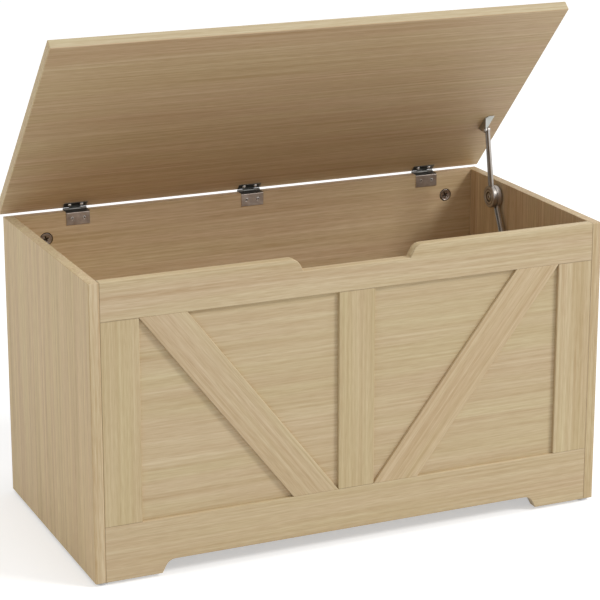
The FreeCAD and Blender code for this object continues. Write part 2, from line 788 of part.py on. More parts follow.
def report_motion(shift):
    hub_closed = closed_hub_pivot()
    upper_turn = lean_of(upper_arm_span) - lean_of(closed_lid_pivot - hub_closed)
    lower_turn = lower_arm_lean_deg - lean_of(hub_closed - side_pivot)
    print("lid turn", lid_open_deg)
    for arm, turn in (("upper arm on the lid", upper_turn - lid_open_deg),
                      ("lower arm on the upper", lower_turn - upper_turn)):
        print(arm, "turn", turn, "ratio", turn / lid_open_deg)
    print("hinge axis", point(0, hinge_y, hinge_z) + shift)
    print("lid pivot", at_x(lid_pivot, upper_arm_x + upper_arm / 2) + shift)
    print("hub pivot", at_x(hub_pivot, hub_middle_x) + shift)
    print("side pivot", side_pivot + shift)
    print("hub pivot with the lid closed", hub_closed + shift)
    print("inside from", point(-inner_half, front_inner_y, bottom_underside + bottom_board) + shift)
    print("inside to", point(hub_face_x, back_inner_y, side_top) + shift)
    print("shift", shift)


# All pieces, by node name
nodes = {}
for side, name in zip(sides, ("left", "right")):
    nodes[name + "_side_panel"] = [side_panel(side)]
    nodes[name + "_stile"] = [stile(*sorted((side * inner_half, side * (inner_half - member_width))))]
    nodes[name + "_brace"] = [brace(side)]
nodes["center_stile"] = [stile(-member_width / 2, member_width / 2)]
nodes["top_rail"] = [top_rail()]
nodes["bottom_rail"] = [bottom_rail()]
nodes["front_panel"] = [front_panel()]
nodes["back_panel"] = [back_panel()]
nodes["bottom_panel"] = [bottom_panel()]

fitting_places = {"back": (back_cam_places, back_dowel_places),
                  "front": (front_cam_places, front_dowel_places),
                  "bottom": (bottom_cam_places, bottom_dowel_places)}
for name, (cam_places, dowel_places) in fitting_places.items():
    nodes[name + "_cam_locks"] = [cam_lock(side, *place) for side in sides for place in cam_places]
    nodes[name + "_cam_bolts"] = [cam_bolt(side, *place[:2]) for side in sides for place in cam_places]
    nodes[name + "_dowels"] = [dowel(side, *place) for side in sides for place in dowel_places]

nodes["feet"] = [foot(place) for place in foot_places()]
nodes["foot_nails"] = [nail(place) for place in foot_places()]

for name, center in hinge_centers.items():
    nodes["hinge_body_leaf_" + name] = [body_leaf(center)]
    nodes["hinge_lid_leaf_" + name] = [opened(lid_leaf(center))]
    nodes["hinge_pin_" + name] = [hinge_pin(center)]
nodes["hinge_body_screws"] = [screw(place, along_y) for center in hinge_centers.values()
                              for place in body_leaf_screw_places(center)]
nodes["hinge_lid_screws"] = [opened(screw(place, along_z)) for center in hinge_centers.values()
                             for place in lid_leaf_screw_places(center)]

nodes["lid_panel"] = [opened(lid_panel())]
nodes["stay_lid_bracket"] = [opened(lid_bracket_piece())]
nodes["stay_lid_pin"] = [opened(lid_pivot_pin())]
nodes["stay_lid_screws"] = [opened(screw(place, along_z)) for place in lid_bracket_screw_places()]
nodes["stay_upper_arm"] = [upper_arm_piece()]
nodes["stay_hub_cap"] = [hub_cap()]
nodes["stay_lower_arm"] = [lower_arm_piece()]
nodes["stay_hub_drum"] = [hub_drum()]
nodes["stay_hub_rivet"] = [hub_rivet()]
nodes["stay_spring_washer"] = [spring_washer()]
nodes["stay_side_rivet"] = [side_rivet()]
nodes["stay_side_bracket"] = [side_bracket_piece()]
nodes["stay_side_screws"] = [screw(place, along_x) for place in side_bracket_screw_places()]

# The open lid reaches behind the back panel, so the middle of the whole depth lies behind the chest's own
lid_rear = nodes["lid_panel"][0].BoundBox.YMax
shift = point(0, -(lid_rear + front_y) / 2, 0)

os.makedirs("parts", exist_ok=True)
for name, solids in nodes.items():
    shape = Part.makeCompound([solid for piece in solids for solid in piece.Solids])
    shape.translate(shift)
    if len(shape.Solids) == 1:
        shape = shape.Solids[0]
    shape.exportStep("parts/" + name + ".step")
report_motion(shift)
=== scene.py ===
import json
import math

import bmesh
import bpy
from mathutils import Matrix, Vector


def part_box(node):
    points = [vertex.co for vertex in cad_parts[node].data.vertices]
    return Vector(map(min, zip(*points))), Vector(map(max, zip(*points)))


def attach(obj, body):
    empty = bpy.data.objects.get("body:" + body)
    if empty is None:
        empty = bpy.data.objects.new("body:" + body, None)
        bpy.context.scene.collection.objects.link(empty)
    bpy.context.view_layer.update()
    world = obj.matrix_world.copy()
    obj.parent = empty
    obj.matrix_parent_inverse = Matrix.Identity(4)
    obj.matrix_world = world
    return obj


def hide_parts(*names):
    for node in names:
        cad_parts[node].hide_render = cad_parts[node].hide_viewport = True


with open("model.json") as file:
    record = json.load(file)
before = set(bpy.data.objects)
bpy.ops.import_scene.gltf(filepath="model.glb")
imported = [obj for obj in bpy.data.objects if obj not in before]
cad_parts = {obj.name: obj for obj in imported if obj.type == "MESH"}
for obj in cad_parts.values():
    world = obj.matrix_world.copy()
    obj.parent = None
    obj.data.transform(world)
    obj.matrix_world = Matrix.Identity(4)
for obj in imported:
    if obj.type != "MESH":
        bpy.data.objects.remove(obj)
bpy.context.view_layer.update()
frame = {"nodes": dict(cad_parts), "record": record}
nodes = frame["nodes"]
mm = 0.001
left, right, front, back, down, up = [Vector(way) for way in ((-1, 0, 0), (1, 0, 0), (0, -1, 0), (0, 1, 0),
                                                              (0, 0, -1), (0, 0, 1))]
# at rest the lid stands open: this turn takes a point of the closed lid there
lidJoint = frame["record"]["behaviour"]["joints"][0]
lidHinge = Vector(lidJoint["pos_m"])
lidSwing = Matrix.Rotation(math.radians(-lidJoint["range_deg"][1]), 3, "X")


# small helpers for node trees, used by the finishes and by the geometry tree
def put(tree, kind, inputs=None, **settings):
    node = tree.nodes.new(kind)
    for key, value in settings.items():
        setattr(node, key, value)
    for key, value in (inputs or {}).items():
        if isinstance(value, bpy.types.NodeSocket):
            tree.links.new(value, node.inputs[key])
        else:
            node.inputs[key].default_value = value
    return node


def sums(tree, operation, *values):
    return put(tree, "ShaderNodeMath", dict(enumerate(values)), operation=operation).outputs[0]


def vectorSums(tree, operation, *values, output="Vector"):
    return put(tree, "ShaderNodeVectorMath", dict(enumerate(values)), operation=operation).outputs[output]


def split(tree, vector):
    return put(tree, "ShaderNodeSeparateXYZ", {"Vector": vector}).outputs


def spread(tree, value, low, high, newLow, newHigh):
    inputs = {"Value": value, "From Min": low, "From Max": high, "To Min": newLow, "To Max": newHigh}
    return put(tree, "ShaderNodeMapRange", inputs).outputs["Result"]


def spreadNoise(tree, noise, newLow=0.0, newHigh=1.0):
    # nearly all of a noise lies between 0.3 and 0.7
    return spread(tree, noise, 0.3, 0.7, newLow, newHigh)


def blendColors(tree, share, first, second, how="MIX"):
    # a colour is a socket, or three numbers that get their alpha here
    first, second = [color if isinstance(color, bpy.types.NodeSocket) else (*color, 1.0)
                     for color in (first, second)]
    node = put(tree, "ShaderNodeMix", {0: share, 6: first, 7: second}, data_type="RGBA", blend_type=how)
    return node.outputs[2]


def noiseAt(tree, vector, scale, detail, roughness=0.5, distortion=0.0):
    inputs = {"Vector": vector, "Scale": scale, "Detail": detail, "Roughness": roughness,
              "Distortion": distortion}
    return put(tree, "ShaderNodeTexNoise", inputs).outputs["Fac"]


def objectVector(tree, location=(0, 0, 0), rotation=(0, 0, 0)):
    coordinates = put(tree, "ShaderNodeTexCoord").outputs["Object"]
    inputs = {"Vector": coordinates, "Location": location, "Rotation": rotation}
    return put(tree, "ShaderNodeMapping", inputs).outputs["Vector"]


def newFinish(name):
    material = bpy.data.materials.new(name)
    material.use_nodes = True
    return material, material.node_tree, material.node_tree.nodes["Principled BSDF"]


def edgeMask(tree, radius, strength):
    # how far the rounded normal leans from the flat one: 0 on a face, up to 1 on a rounded edge, where the
    # finishes paint a highlight
    rounded = put(tree, "ShaderNodeBevel", {"Radius": radius}, samples=6).outputs["Normal"]
    flat = put(tree, "ShaderNodeNewGeometry").outputs["Normal"]
    lean = sums(tree, "SUBTRACT", 1.0, vectorSums(tree, "DOT_PRODUCT", rounded, flat, output="Value"))
    mask = put(tree, "ShaderNodeMath", {0: lean, 1: strength}, operation="MULTIPLY", use_clamp=True)
    return rounded, mask.outputs[0]


def addBump(tree, shader, height, rounded, distance, strength):
    bump = put(tree, "ShaderNodeBump", {"Height": height, "Normal": rounded, "Distance": distance,
                                        "Strength": strength})
    tree.links.new(bump.outputs["Normal"], shader.inputs["Normal"])


def dress(nodeName, material):
    mesh = nodes[nodeName].data
    if not mesh.materials:
        mesh.materials.append(material)
    for slot in nodes[nodeName].material_slots:
        slot.material = material


# light oak foil on board
oakLook = {
    "base": (0.604, 0.474, 0.291), "yellow": (0.994, 1.009, 0.975), "pink": (1.008, 0.990, 1.009),
    # the sizes of figure: repeats per metre along and across the grain, detail, roughness, distortion
    "figure": {
        "waves": (0.8, 19.0, 1.0, 0.5, 0.4), "bands": (1.6, 80.0, 2.0, 0.5, 0.2),
        "streaks": (2.8, 270.0, 2.0, 0.55, 0.0), "flecks": (45.0, 620.0, 1.0, 0.5, 0.0),
        "pores": (30.0, 760.0, 2.0, 0.5, 0.0), "warmth": (2.0, 34.0, 2.0, 0.5, 0.0),
    },
    "light": {"flecks": 0.15, "streaks": 0.31, "bands": 0.14, "waves": 0.080},  # shares of the base colour
    "figureColor": (0.74, 1.05, 1.38),  # dark lines turn warm and light ones pale: blue changes most
    "warmthRange": (0.36, 0.64),
    "poreColor": (0.44, 0.327, 0.178), "poreShare": 0.24, "poreRange": (0.46, 0.34),
    # edge colour and share: a painted highlight along the rounded edges of the boards
    "edgeHighlightColor": (0.72, 0.60, 0.425), "edgeHighlightShare": 0.55, "edgeRadius": 0.0012, "edgeStrength": 2.2,
    "seamColor": (0.25, 0.18, 0.11), "seamShare": 0.5, "seamWidth": 0.0011, "seamCore": 0.3,
    # how squarely a face looks the broad way where the narrow faces' tint begins, and to the right where the
    # lid's ends do
    "tapeRange": (0.6, 0.4), "endRange": (0.4, 0.6),
    "roughness": (0.45, 0.50), "specular": 0.26,
    "poreRelief": 0.6, "streakRelief": 0.4, "bumpHeight": 0.00010, "bumpStrength": 0.30,
}


def makeOak(name, cut, seams):
    # the grain's angle is from level, in the plane of the front
    material, tree, shader = newFinish(name)
    along = objectVector(tree, cut["shift"], (0, math.radians(cut["turn"]), 0))
    figure = {}
    for size, (lengthwise, crosswise, detail, roughness, distortion) in oakLook["figure"].items():
        stretched = vectorSums(tree, "MULTIPLY", along, (lengthwise, crosswise, crosswise))
        figure[size] = noiseAt(tree, stretched, 1.0, detail, roughness, distortion)

    light = 1.0
    for size, share in oakLook["light"].items():
        swing = sums(tree, "SUBTRACT", figure[size], 0.5)
        light = sums(tree, "MULTIPLY_ADD", swing, 2 * share * cut.get("figure", 1), light)
    offset = sums(tree, "SUBTRACT", light, 1.0)
    change = put(tree, "ShaderNodeVectorMath", {0: oakLook["figureColor"], 3: offset}, operation="SCALE")
    lit = vectorSums(tree, "MULTIPLY_ADD", change.outputs["Vector"], oakLook["base"], oakLook["base"])
    warmth = spread(tree, figure["warmth"], *oakLook["warmthRange"], 0.0, 1.0)
    shade = blendColors(tree, warmth, oakLook["yellow"], oakLook["pink"])
    color = blendColors(tree, 1.0, lit, shade, "MULTIPLY")
    inPores = spread(tree, figure["pores"], *oakLook["poreRange"], 0.0, oakLook["poreShare"])
    color = blendColors(tree, inPores, color, oakLook["poreColor"])
    rounded, edge = edgeMask(tree, oakLook["edgeRadius"], oakLook["edgeStrength"])
    # painted highlight where the rounded edge catches light
    color = blendColors(tree, sums(tree, "MULTIPLY", edge, oakLook["edgeHighlightShare"]), color, oakLook["edgeHighlightColor"])
    color = blendColors(tree, 1.0, color, faceTint(tree, cut), "MULTIPLY")
    color = jointLines(tree, color, seams)
    tree.links.new(color, shader.inputs["Base Color"])

    roughness = spreadNoise(tree, figure["streaks"], *oakLook["roughness"])
    tree.links.new(roughness, shader.inputs["Roughness"])
    streakRelief = sums(tree, "MULTIPLY", figure["streaks"], oakLook["streakRelief"])
    relief = sums(tree, "MULTIPLY_ADD", figure["pores"], oakLook["poreRelief"], streakRelief)
    addBump(tree, shader, relief, rounded, oakLook["bumpHeight"], oakLook["bumpStrength"])
    shader.inputs["Specular IOR Level"].default_value = oakLook["specular"]
    return material


def faceTint(tree, cut):
    # narrow faces get a tint of their own, and so do the ends of the lid: partly the edging tape's tone,
    # partly painted light and shade for how those faces are lit
    normal = put(tree, "ShaderNodeTexCoord").outputs["Normal"]

    def facing(way):
        return sums(tree, "ABSOLUTE", vectorSums(tree, "DOT_PRODUCT", normal, way, output="Value"))

    onTape = spread(tree, facing(cut.get("broad", front)), *oakLook["tapeRange"], 0.0, 1.0)
    tint = blendColors(tree, onTape, cut["tint"], cut.get("tapeAndPaintedLight", cut["tint"]))
    if "ends" in cut:
        onEnd = spread(tree, facing(right), *oakLook["endRange"], 0.0, 1.0)
        tint = blendColors(tree, onEnd, tint, cut["ends"])
    return tint


def jointLines(tree, color, seams):
    # dark lines where the board meets its neighbour: seams are (axis, place on it)
    place = split(tree, put(tree, "ShaderNodeTexCoord").outputs["Object"])
    width = oakLook["seamWidth"]
    for axis, value in seams:
        away = sums(tree, "ABSOLUTE", sums(tree, "SUBTRACT", place[axis], value))
        inSeam = spread(tree, away, width * oakLook["seamCore"], width, oakLook["seamShare"], 0.0)
        color = blendColors(tree, inSeam, color, oakLook["seamColor"])
    return color


# boards: the angle of the grain, where the pattern is cut from the foil, the strength of its figure, the way
# the broad faces look, and the tints of board, narrow faces and lid ends; the narrow faces' tints are partly
# the edging tape's tone and partly painted light and shade
boards = {
    # the left side panel, which the lamps hardly reach, is tinted lighter: painted light on top of the
    # board's own tone
    "left_side_panel": {"turn": 90, "shift": (0.31, 0.12, 0.45), "tint": (1.21, 1.14, 1.01), "figure": 1.25,
                        "broad": right, "tapeAndPaintedLight": (1.11, 1.135, 1.165)},
    "right_side_panel": {"turn": 90, "shift": (1.63, 0.52, 0.15), "tint": (1.06, 1.02, 1.03), "figure": 1.3,
                         "broad": right, "tapeAndPaintedLight": (0.98, 0.95, 0.92)},
    "back_panel": {"turn": 0, "shift": (2.24, 0.33, 0.81), "tint": (1.06, 1.00, 0.98)},
    "bottom_panel": {"turn": 0, "shift": (3.17, 0.74, 0.26), "tint": (1.05, 1.00, 0.975), "broad": up},
    "front_panel": {"turn": 0, "shift": (0.52, 1.35, 0.91), "tint": (1.00, 1.00, 1.00), "figure": 0.78},
    "lid_panel": {"turn": 0, "shift": (1.41, 1.82, 0.37), "tint": (1.06, 1.003, 0.99),
                  "broad": lidSwing @ up, "tapeAndPaintedLight": (0.943, 1.008, 1.034), "ends": (1.165, 1.124, 1.02)},
    "top_rail": {"turn": 0, "shift": (4.13, 0.61, 0.55), "tint": (1.005, 0.995, 1.01),
                 "tapeAndPaintedLight": (1.07, 1.08, 1.11)},
    "bottom_rail": {"turn": 0, "shift": (5.27, 0.29, 1.38), "tint": (1.005, 1.00, 1.01), "figure": 0.85},
    "left_stile": {"turn": 90, "shift": (2.91, 1.18, 0.66), "tint": (0.995, 0.995, 0.96)},
    "right_stile": {"turn": 90, "shift": (3.74, 1.47, 1.12), "tint": (1.01, 1.01, 0.99)},
    "center_stile": {"turn": 90, "shift": (4.58, 1.73, 0.84), "tint": (0.98, 0.98, 0.94), "figure": 0.9},
    "left_brace": {"turn": -52.3, "shift": (6.32, 0.44, 0.27), "tint": (0.98, 0.96, 0.96)},
    "right_brace": {"turn": 52.3, "shift": (7.16, 0.83, 0.49), "tint": (1.03, 1.02, 1.01)},
}
# joint lines: the stiles have them at both ends, and the frame at its left and right end
stileBoxes = {stileName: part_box(stileName) for stileName in ("left_stile", "right_stile", "center_stile")}
frameLeft, frameRight = ("X", stileBoxes["left_stile"][0][0]), ("X", stileBoxes["right_stile"][1][0])
seams = {stileName: [("Z", low[2]), ("Z", high[2])] for stileName, (low, high) in stileBoxes.items()}
seams["left_stile"].append(frameLeft)
seams["right_stile"].append(frameRight)
seams["top_rail"] = seams["bottom_rail"] = [frameLeft, frameRight]
for boardName, cut in boards.items():
    dress(boardName, makeOak("oak_" + boardName, cut, seams.get(boardName, [])))
print("oak boards dressed:", len(boards))


# metals, plastic and beech: what all of their finishes share
metalGrain = {
    "brushDetail": (3.0, 0.6), "cloudDetail": (3.0, 0.55, 0.3), "speckDetail": (2.0, 0.6),
    "specksPerCloud": 14, "speckRange": (0.62, 0.78), "edgeStrength": 1.8,
    "ringCore": 0.6, "creviceShadeRange": (0.45, 0.8),
    "brushDull": 0.6, "cloudDull": 0.4, "ringRelief": 0.35, "bumpStrength": 0.4,
}


def paintedShadeIn(tree, look, place, color):
    # painted shade blends towards the dark speck colour
    def darken(share):
        return blendColors(tree, share, color, look["speckAndShade"])

    # turned pieces keep the spot on their own axis: painted shade in the rings named, where grooves and rims
    # lie, and deep in the recess
    spot = put(tree, "ShaderNodeAttribute", attribute_name="spot").outputs["Vector"]
    reach = vectorSums(tree, "LENGTH", vectorSums(tree, "MULTIPLY", spot, (1, 1, 0)), output="Value")
    for radius, half, share in look.get("rings", ()):
        away = sums(tree, "ABSOLUTE", sums(tree, "SUBTRACT", reach, radius * mm))
        color = darken(spread(tree, away, half * metalGrain["ringCore"] * mm, half * mm, share, 0.0))
    if "recessShade" in look:
        top, bottom, share = look["recessShade"]
        color = darken(spread(tree, split(tree, spot)["Z"], top * mm, bottom * mm, 0.0, share))
    # painted shade in crevices, where little light gets in
    if "creviceShade" in look:
        distance, share = look["creviceShade"]
        openness = put(tree, "ShaderNodeAmbientOcclusion", {"Distance": distance}, samples=8, only_local=True)
        color = darken(spread(tree, openness.outputs["AO"], *metalGrain["creviceShadeRange"], share, 0.0))
    if "behind" in look:
        # sheet that turns away behind this depth is in the shade of the lid and dull
        start, end, share = look["behind"]
        color = darken(spread(tree, split(tree, place)["Y"], start, end, 0.0, share))
    return color


def latheRings(tree, look, place):
    # fine rings left by the lathe, around the axis through this place
    fromCenter = vectorSums(tree, "SUBTRACT", place, look["turningCenter"])
    reach = vectorSums(tree, "LENGTH", vectorSums(tree, "MULTIPLY", fromCenter, (0, 1, 1)), output="Value")
    return sums(tree, "SINE", sums(tree, "MULTIPLY", reach, look["turningRate"]))


def makeMetal(name, look):
    material, tree, shader = newFinish(name)
    place = objectVector(tree)
    brushed = vectorSums(tree, "MULTIPLY", place, look["brush"])
    brushMarks = noiseAt(tree, brushed, 1.0, *metalGrain["brushDetail"])
    clouds = noiseAt(tree, place, look["cloudScale"], *metalGrain["cloudDetail"])
    speckScale = look["cloudScale"] * metalGrain["specksPerCloud"]
    specks = noiseAt(tree, place, speckScale, *metalGrain["speckDetail"])
    rounded, edge = edgeMask(tree, look["edgeRadius"], metalGrain["edgeStrength"])
    color = blendColors(tree, spreadNoise(tree, clouds), look["dark"], look["light"])
    inSpecks = spread(tree, specks, *metalGrain["speckRange"], 0.0, look["speckShare"])
    color = blendColors(tree, inSpecks, color, look["speckAndShade"])
    # painted highlight along the rounded edges
    color = blendColors(tree, sums(tree, "MULTIPLY", edge, look["edgeHighlightShare"]), color, look["edgeHighlightColor"])
    color = paintedShadeIn(tree, look, place, color)
    tree.links.new(color, shader.inputs["Base Color"])

    cloudDull = sums(tree, "MULTIPLY", clouds, metalGrain["cloudDull"])
    dull = sums(tree, "MULTIPLY_ADD", brushMarks, metalGrain["brushDull"], cloudDull)
    tree.links.new(spreadNoise(tree, dull, *look["roughness"]), shader.inputs["Roughness"])
    relief = brushMarks
    if "turningCenter" in look:
        rings = latheRings(tree, look, place)
        relief = sums(tree, "MULTIPLY_ADD", rings, metalGrain["ringRelief"], brushMarks)
    addBump(tree, shader, relief, rounded, look["bumpHeight"], metalGrain["bumpStrength"])
    shader.inputs["Metallic"].default_value = look.get("metallic", 1.0)
    return material


# rings of painted shade are (radius, half width, share) and the painted shade of a recess is (top, bottom,
# share), in millimetres
metalLooks = {
    "bodyLeafNickel": {
        "dark": (0.44, 0.385, 0.345), "light": (0.62, 0.56, 0.51), "speckAndShade": (0.05, 0.048, 0.042),
        "speckShare": 0.12, "edgeHighlightColor": (0.80, 0.77, 0.72), "edgeHighlightShare": 0.55, "edgeRadius": 0.0006,
        "roughness": (0.34, 0.50), "brush": (60, 900, 900), "cloudScale": 60, "bumpHeight": 0.00004,
        "behind": (0.1738, 0.1755, 0.78)},
    # the lid's leaves and pins: the body leaves' nickel painted much darker, as painted shade for their place
    # under the lid
    "lidLeafNickelPaintedShade": {
        "dark": (0.17, 0.17, 0.16), "light": (0.27, 0.27, 0.26), "speckAndShade": (0.06, 0.055, 0.045),
        "speckShare": 0.3, "edgeHighlightColor": (0.42, 0.43, 0.42), "edgeHighlightShare": 0.6, "edgeRadius": 0.0004,
        "roughness": (0.26, 0.38), "brush": (60, 900, 900), "cloudScale": 60, "bumpHeight": 0.00004},
    "bracketNickel": {
        "dark": (0.36, 0.37, 0.34), "light": (0.50, 0.50, 0.47), "speckAndShade": (0.26, 0.25, 0.23),
        "speckShare": 0.3, "edgeHighlightColor": (0.84, 0.82, 0.82), "edgeHighlightShare": 0.9, "edgeRadius": 0.0009,
        "roughness": (0.28, 0.42), "brush": (500, 300, 50), "cloudScale": 40, "bumpHeight": 0.00003},
    "upperArmNickel": {
        "dark": (0.38, 0.355, 0.325), "light": (0.48, 0.45, 0.415), "speckAndShade": (0.20, 0.18, 0.16),
        "speckShare": 0.3, "edgeHighlightColor": (0.60, 0.57, 0.53), "edgeHighlightShare": 0.5, "edgeRadius": 0.0006,
        "roughness": (0.40, 0.52), "brush": (500, 300, 50), "cloudScale": 40, "bumpHeight": 0.00003},
    "lowerArmNickel": {
        "dark": (0.42, 0.39, 0.35), "light": (0.54, 0.505, 0.46), "speckAndShade": (0.06, 0.05, 0.04),
        "speckShare": 0.1, "edgeHighlightColor": (0.90, 0.87, 0.81), "edgeHighlightShare": 0.9, "edgeRadius": 0.0007,
        "roughness": (0.26, 0.40), "brush": (500, 300, 50), "cloudScale": 40, "bumpHeight": 0.00003,
        # painted shade inside the channel
        "creviceShade": (0.005, 0.95)},
    "hubNickel": {
        "dark": (0.42, 0.385, 0.355), "light": (0.54, 0.50, 0.465), "speckAndShade": (0.09, 0.075, 0.06),
        "speckShare": 0.1, "edgeHighlightColor": (0.80, 0.78, 0.74), "edgeHighlightShare": 0.7, "edgeRadius": 0.0004,
        "roughness": (0.38, 0.50), "brush": (400, 400, 400), "cloudScale": 90, "bumpHeight": 0.000012,
        "turningCenter": (0.370, 0.08246, 0.41130), "turningRate": 14000.0,
        # rings of painted shade in the cap's two grooves and at its rim
        "rings": ((7.1, 1.5, 0.97), (11.9, 0.8, 0.6), (16.9, 0.6, 0.3))},
    "rivetNickel": {
        "dark": (0.44, 0.41, 0.38), "light": (0.56, 0.53, 0.49), "speckAndShade": (0.09, 0.075, 0.06),
        "speckShare": 0.1, "edgeHighlightColor": (0.86, 0.84, 0.81), "edgeHighlightShare": 0.7, "edgeRadius": 0.0004,
        "roughness": (0.28, 0.40), "brush": (500, 500, 500), "cloudScale": 90, "bumpHeight": 0.00002,
        # painted shade in the rivet's dimple and round its head
        "rings": ((0.0, 2.4, 0.97), (4.9, 0.6, 0.8))},
    "camZinc": {
        "dark": (0.36, 0.31, 0.285), "light": (0.56, 0.50, 0.46), "speckAndShade": (0.07, 0.055, 0.04),
        "speckShare": 0.35, "edgeHighlightColor": (0.88, 0.84, 0.79), "edgeHighlightShare": 0.8, "edgeRadius": 0.0005,
        "roughness": (0.26, 0.42), "brush": (500, 500, 500), "cloudScale": 260, "bumpHeight": 0.00012,
        # a ring of painted shade in the groove round the cam, and painted shade deep in the cross recess
        "rings": ((9.5, 0.9, 0.92),), "recessShade": (-1.2, -1.9, 0.9)},
    "screwNickel": {
        "dark": (0.56, 0.53, 0.50), "light": (0.70, 0.67, 0.64), "speckAndShade": (0.08, 0.07, 0.06),
        "speckShare": 0.2, "edgeHighlightColor": (0.82, 0.80, 0.77), "edgeHighlightShare": 0.6, "edgeRadius": 0.0003,
        "roughness": (0.34, 0.46), "brush": (800, 800, 800), "cloudScale": 200, "bumpHeight": 0.00003,
        # painted shade round the head's edge and in the cross recess
        "rings": ((3.0, 0.45, 0.75),), "recessShade": (0.05, -0.35, 0.9)},
    # the lid leaf's screws: the same nickel painted lighter, as painted light on the raised heads
    "screwNickelPaintedLight": {
        "dark": (0.84, 0.82, 0.79), "light": (0.94, 0.93, 0.91), "speckAndShade": (0.12, 0.11, 0.10),
        "speckShare": 0.1, "edgeHighlightColor": (0.95, 0.94, 0.92), "edgeHighlightShare": 0.6, "edgeRadius": 0.0003,
        "roughness": (0.30, 0.42), "brush": (800, 800, 800), "cloudScale": 200, "bumpHeight": 0.00003,
        "rings": ((3.2, 0.4, 0.6),), "recessShade": (0.8, 0.3, 0.5)},
    "boltZinc": {
        "dark": (0.45, 0.45, 0.42), "light": (0.60, 0.60, 0.56), "speckAndShade": (0.35, 0.32, 0.28),
        "speckShare": 0.3, "edgeHighlightColor": (0.78, 0.78, 0.75), "edgeHighlightShare": 0.6, "edgeRadius": 0.0003,
        "roughness": (0.3, 0.45), "brush": (600, 600, 600), "cloudScale": 120, "bumpHeight": 0.00005},
    "glidePlastic": {
        "dark": (0.66, 0.66, 0.665), "light": (0.74, 0.74, 0.75), "speckAndShade": (0.50, 0.49, 0.47),
        "speckShare": 0.3, "edgeHighlightColor": (0.80, 0.80, 0.80), "edgeHighlightShare": 0.5, "edgeRadius": 0.0005,
        "roughness": (0.38, 0.52), "brush": (900, 900, 900), "cloudScale": 150, "bumpHeight": 0.00003,
        "metallic": 0.0},
    "beech": {
        "dark": (0.50, 0.33, 0.18), "light": (0.62, 0.43, 0.25), "speckAndShade": (0.40, 0.25, 0.13),
        "speckShare": 0.5, "edgeHighlightColor": (0.66, 0.48, 0.30), "edgeHighlightShare": 0.4, "edgeRadius": 0.0005,
        "roughness": (0.5, 0.65), "brush": (60, 1500, 1500), "cloudScale": 80, "bumpHeight": 0.00008,
        "metallic": 0.0},
}
finishes = {name: makeMetal(name, look) for name, look in metalLooks.items()}
plainNodes = {
    "bodyLeafNickel": ["hinge_body_leaf_left", "hinge_body_leaf_middle", "hinge_body_leaf_right"],
    "lidLeafNickelPaintedShade": ["hinge_lid_leaf_left", "hinge_lid_leaf_middle", "hinge_lid_leaf_right",
                      "hinge_pin_left", "hinge_pin_middle", "hinge_pin_right"],
    "bracketNickel": ["stay_lid_bracket", "stay_side_bracket", "stay_spring_washer"],
    "upperArmNickel": ["stay_upper_arm"],
    "lowerArmNickel": ["stay_lower_arm"],
    "hubNickel": ["stay_hub_drum"],
    "screwNickel": ["stay_lid_pin", "stay_side_rivet"],
    "boltZinc": ["back_cam_bolts", "front_cam_bolts", "bottom_cam_bolts", "foot_nails"],
    "beech": ["back_dowels", "front_dowels", "bottom_dowels"],
}
for finish, names in plainNodes.items():
    for name in names:
        dress(name, finishes[finish])
print("hardware finishes made:", len(finishes))

# turned pieces: points closer than a weld are merged, edges past the sharp angle stay sharp, a recess
# narrows by its slope on the way down, and an eased corner gets a point at each share of its curve
turning = {"weldInTree": 0.000002, "weldAfter": 0.000001, "sharpAngle": 32, "recessSlope": 0.4,
           "easeShares": (0.0, 0.25, 0.5, 0.75, 1.0)}


